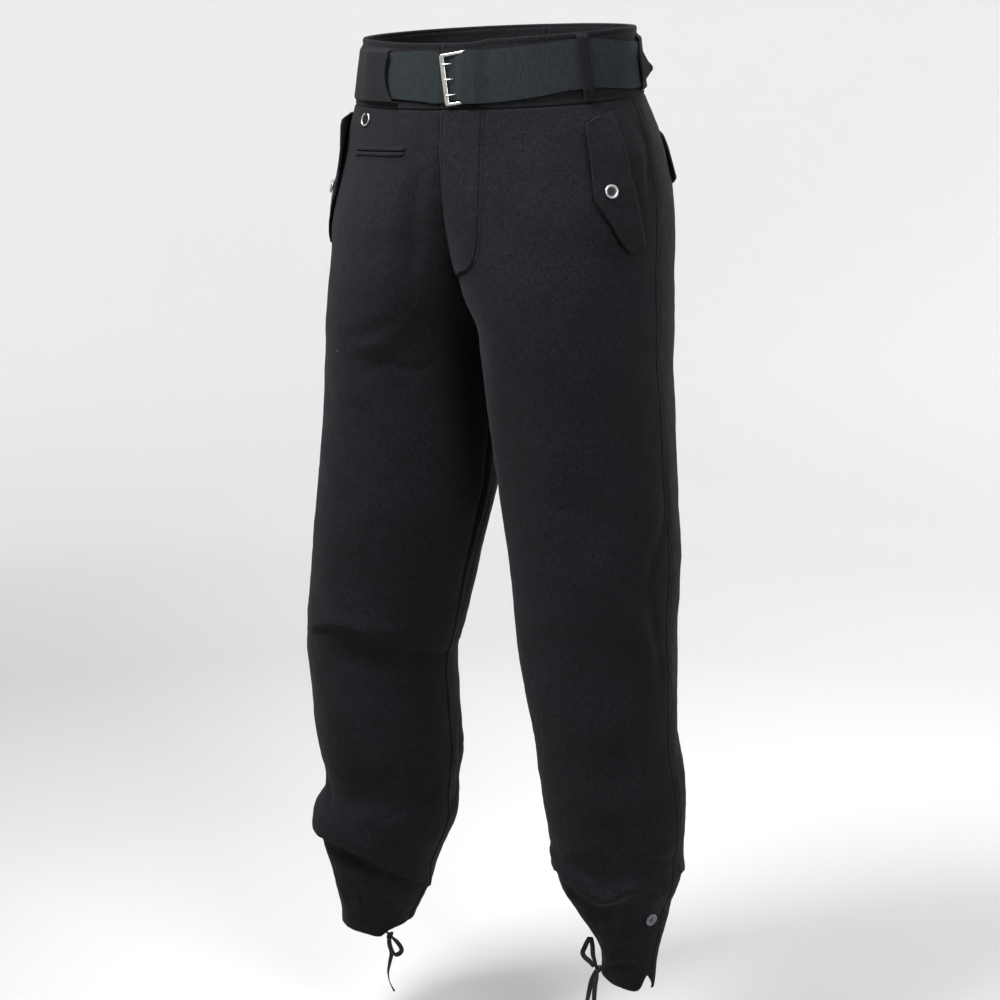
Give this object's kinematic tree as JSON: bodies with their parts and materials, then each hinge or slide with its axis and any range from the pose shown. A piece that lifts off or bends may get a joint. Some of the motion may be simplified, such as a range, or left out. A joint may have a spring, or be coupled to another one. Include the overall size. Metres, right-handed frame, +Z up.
{
  "type": "tank crew trousers",
  "caption": "Hollow wool tank crew trousers as worn: legs gathered at the ankles with tapes, slant and rear pocket flaps, watch pocket, and an own webbing belt with a pronged frame buckle.",
  "frame": {"origin": "middle of the waist opening, at half the height of the waistband, on the upright line between the legs", "axes": "+Z up, -Y the front of the garment, +X the wearer's left"},
  "size_m": [0.4722, 0.2905, 1.1616],
  "materials": {
    "wool_cloth": "napped black wool",
    "belt_webbing": "ribbed cotton webbing",
    "bright_steel": "nickel-plated steel, satin",
    "pressed_metal": "pressed metal, worn satin",
    "horn": "dark horn, semi-matt",
    "cotton_tape": "black cotton tape"
  },
  "bodies": {
    "root": {"front_leg_left": "wool_cloth", "front_leg_right": "wool_cloth", "back_leg_left": "wool_cloth", "back_leg_right": "wool_cloth", "waistband_left": "wool_cloth", "waistband_right": "wool_cloth", "fly_placket": "wool_cloth", "belt_tunnel": "wool_cloth", "belt_loop_left": "wool_cloth", "side_tab_left": "wool_cloth", "pocket_flap_left": "wool_cloth", "pocket_flap_right": "wool_cloth", "rear_flap_left": "wool_cloth", "watch_welt_upper": "wool_cloth", "watch_welt_lower": "wool_cloth", "belt": "belt_webbing", "buckle_frame": "bright_steel", "buckle_prong_1": "bright_steel", "buckle_prong_2": "bright_steel", "buckle_prong_3": "bright_steel", "watch_ring": "bright_steel", "pocket_button_left": "pressed_metal", "pocket_button_right": "pressed_metal", "ankle_button_left": "horn", "ankle_button_right": "horn", "tie_loop_left": "cotton_tape", "tie_tail_left_1": "cotton_tape", "tie_tail_left_2": "cotton_tape", "tie_loop_right": "cotton_tape", "tie_tail_right": "cotton_tape", "tie_knot_left": "cotton_tape", "tie_knot_right": "cotton_tape"}
  },
  "joints": []
}
